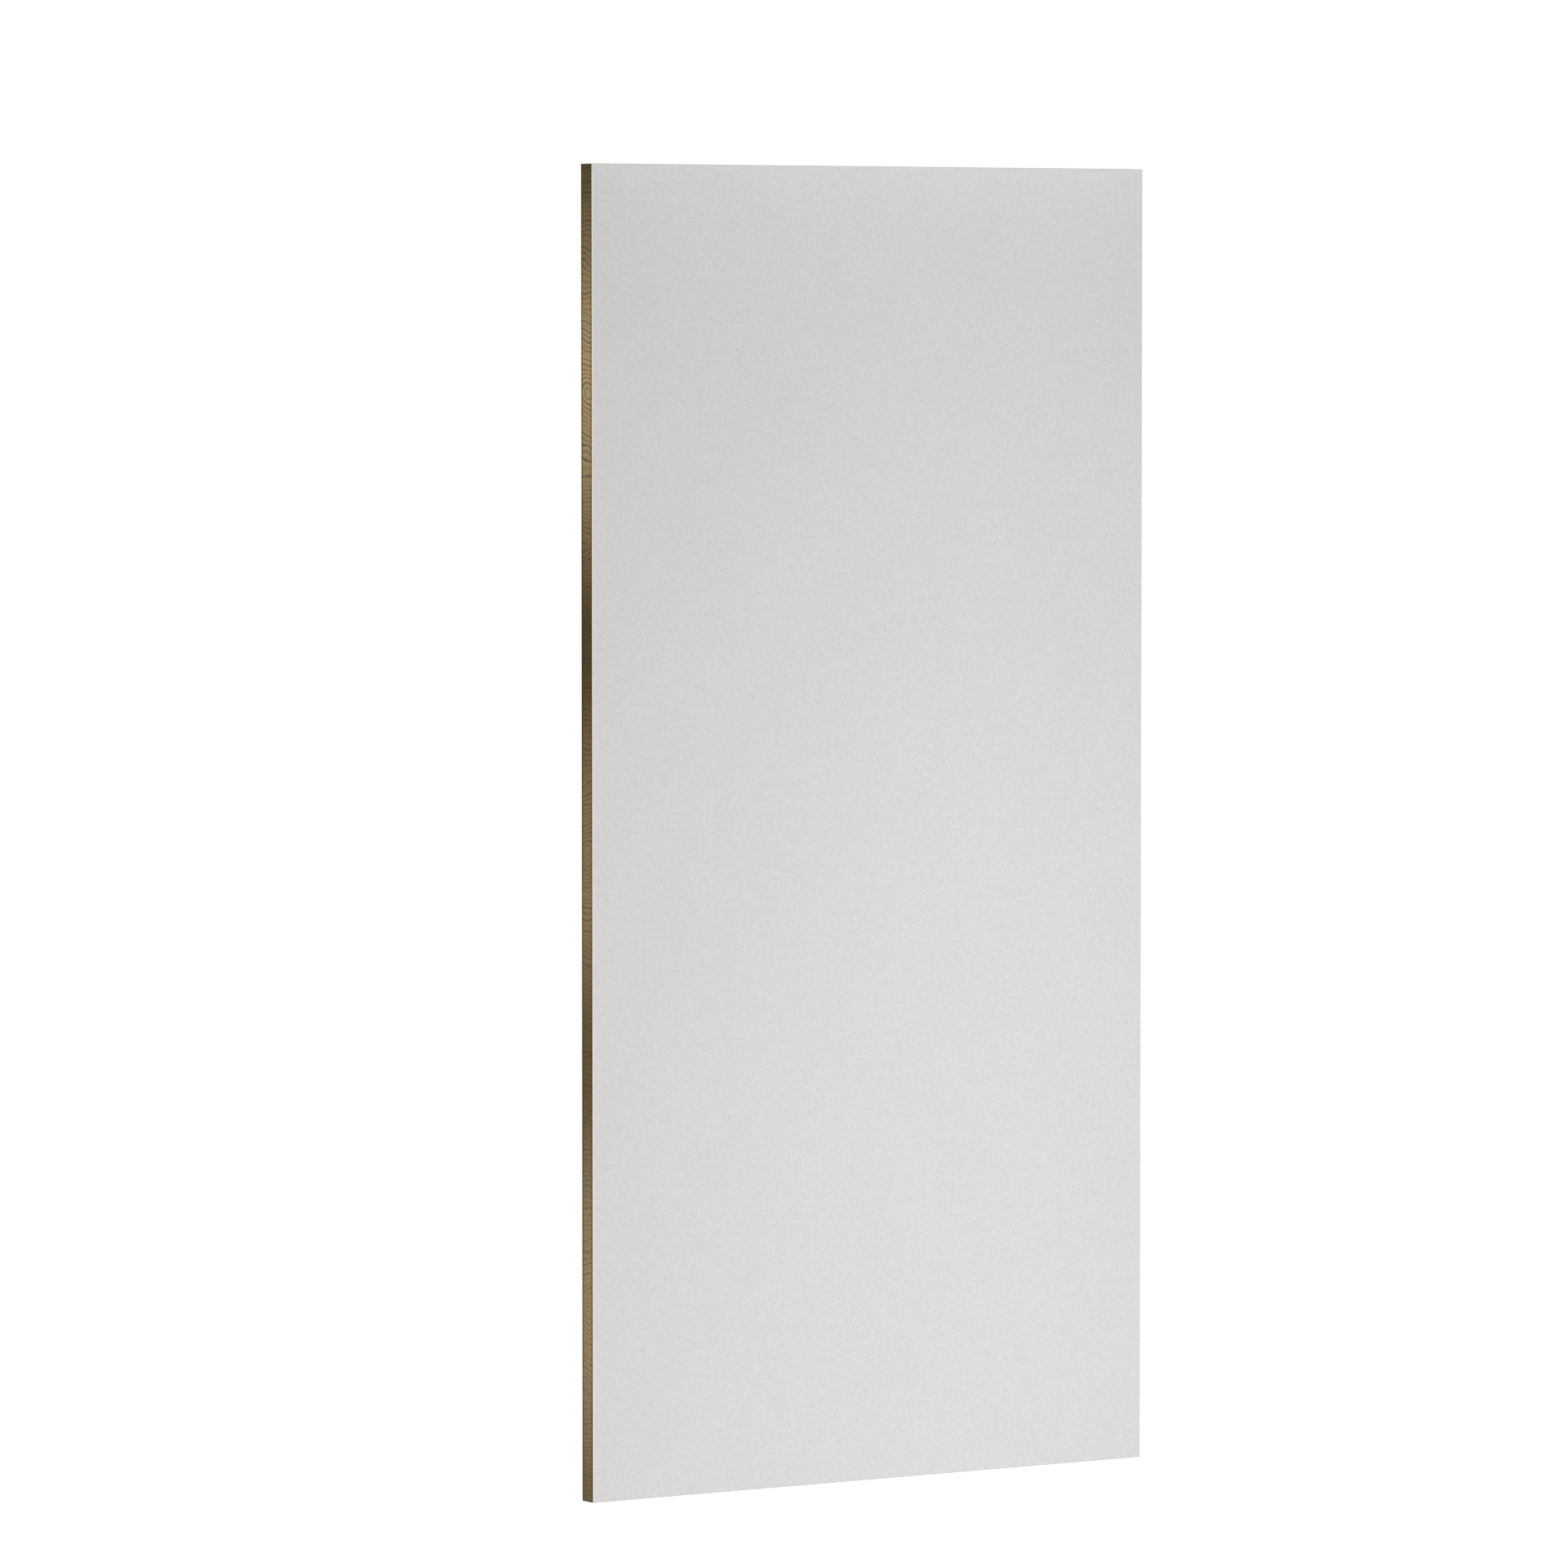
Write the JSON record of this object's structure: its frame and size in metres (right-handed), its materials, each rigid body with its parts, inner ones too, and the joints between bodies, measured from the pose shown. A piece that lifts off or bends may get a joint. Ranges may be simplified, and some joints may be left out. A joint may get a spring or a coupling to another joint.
{
  "type": "laminate-faced board",
  "caption": "Full-size rectangular board: a timber core with a plain pale grey decorative laminate on its face, a thin balancing laminate on its back and bare wood edges.",
  "frame": {"origin": "middle of the board's back, on the floor it lies on", "axes": "+X across the 4 ft width, +Y along the 8 ft length, +Z out of the decorative face"},
  "size_m": [1.2192, 2.4384, 0.0366],
  "materials": {
    "core_timber": "bare sawn and sanded timber, growth rings crossing the long edges, unsealed",
    "grey_laminate": "high-pressure laminate, plain pale grey, matt suede",
    "backing_laminate": "undecorated brown phenolic balancing laminate, sanded matt"
  },
  "bodies": {
    "root": {"core_board": "core_timber", "face_laminate": "grey_laminate", "back_laminate": "backing_laminate"}
  },
  "joints": []
}
